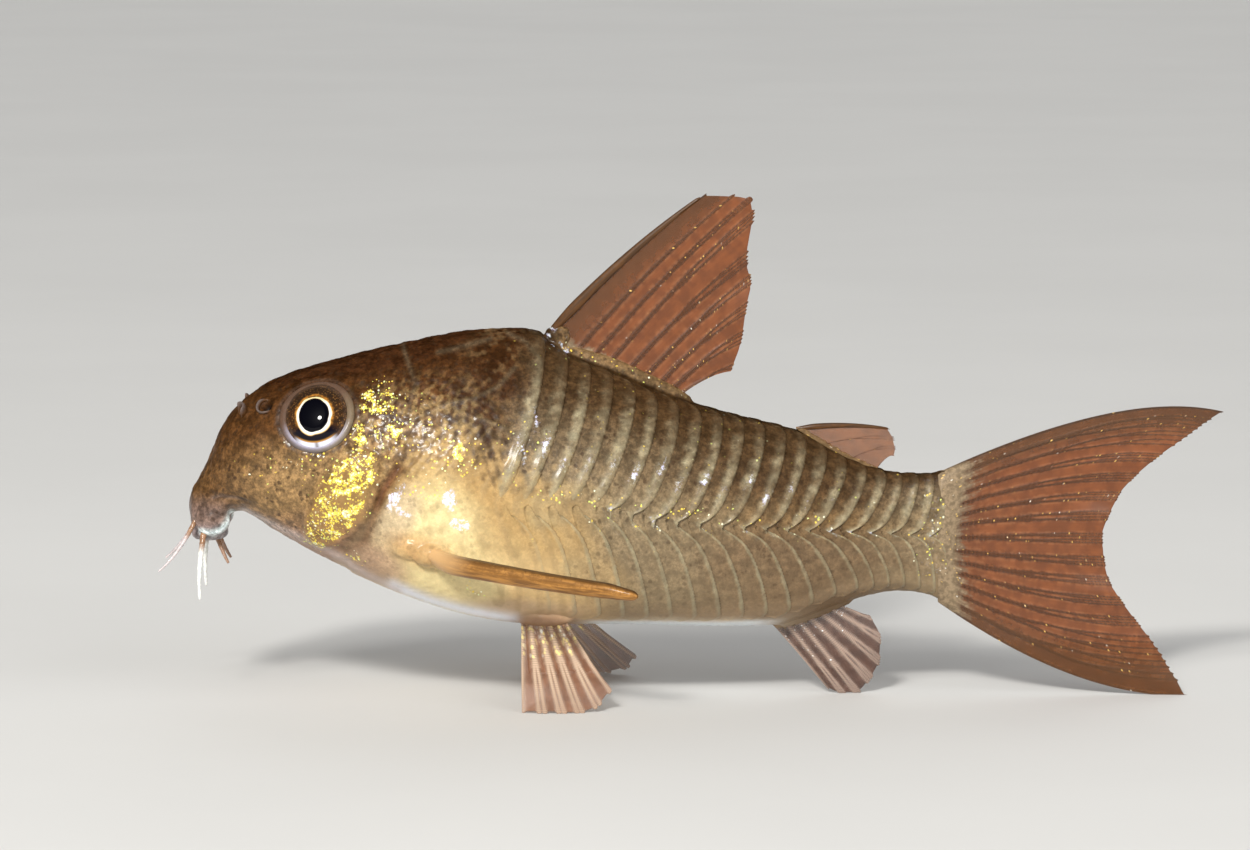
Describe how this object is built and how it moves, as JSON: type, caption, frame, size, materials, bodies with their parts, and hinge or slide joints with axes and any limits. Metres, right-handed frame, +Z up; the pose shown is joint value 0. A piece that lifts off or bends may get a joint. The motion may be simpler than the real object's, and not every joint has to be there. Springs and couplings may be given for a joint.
{
  "type": "corydoras catfish",
  "caption": "Armoured corydoras catfish resting on its fins, with plated flanks, tall dorsal fin, forked tail and feelers round the mouth.",
  "frame": {"origin": "centre of the bottom of the fish's box, on the floor that its fins rest on", "axes": "+X towards the tail, +Z up, the fish's left side faces -Y"},
  "size_m": [0.0724, 0.0278, 0.0343],
  "materials": {
    "flesh": "wet armoured skin, olive brown above, tan flanks with brown-edged plates, cream belly",
    "eyes": "clear cornea over a dark speckled iris with a pale gold ring round a black pupil",
    "fins": "translucent membrane between brown rays",
    "pectoral_fins": "orange-brown spine and translucent membrane",
    "barbels": "pale, smooth and wet"
  },
  "bodies": {
    "root": {"head": "flesh", "torso": "flesh", "tail": "flesh", "eye_left": "eyes", "eye_right": "eyes", "dorsal_fin": "fins", "adipose_fin": "fins", "anal_fin": "fins", "tail_fin_upper": "fins", "tail_fin_lower": "fins", "pelvic_fin_left": "fins", "pelvic_fin_right": "fins", "pectoral_fin_left": "pectoral_fins", "pectoral_fin_right": "pectoral_fins", "barbel_rostral_left": "barbels", "barbel_rostral_right": "barbels", "barbel_maxillary_left": "barbels", "barbel_maxillary_right": "barbels", "barbel_chin_left": "barbels", "barbel_chin_right": "barbels"}
  },
  "joints": []
}
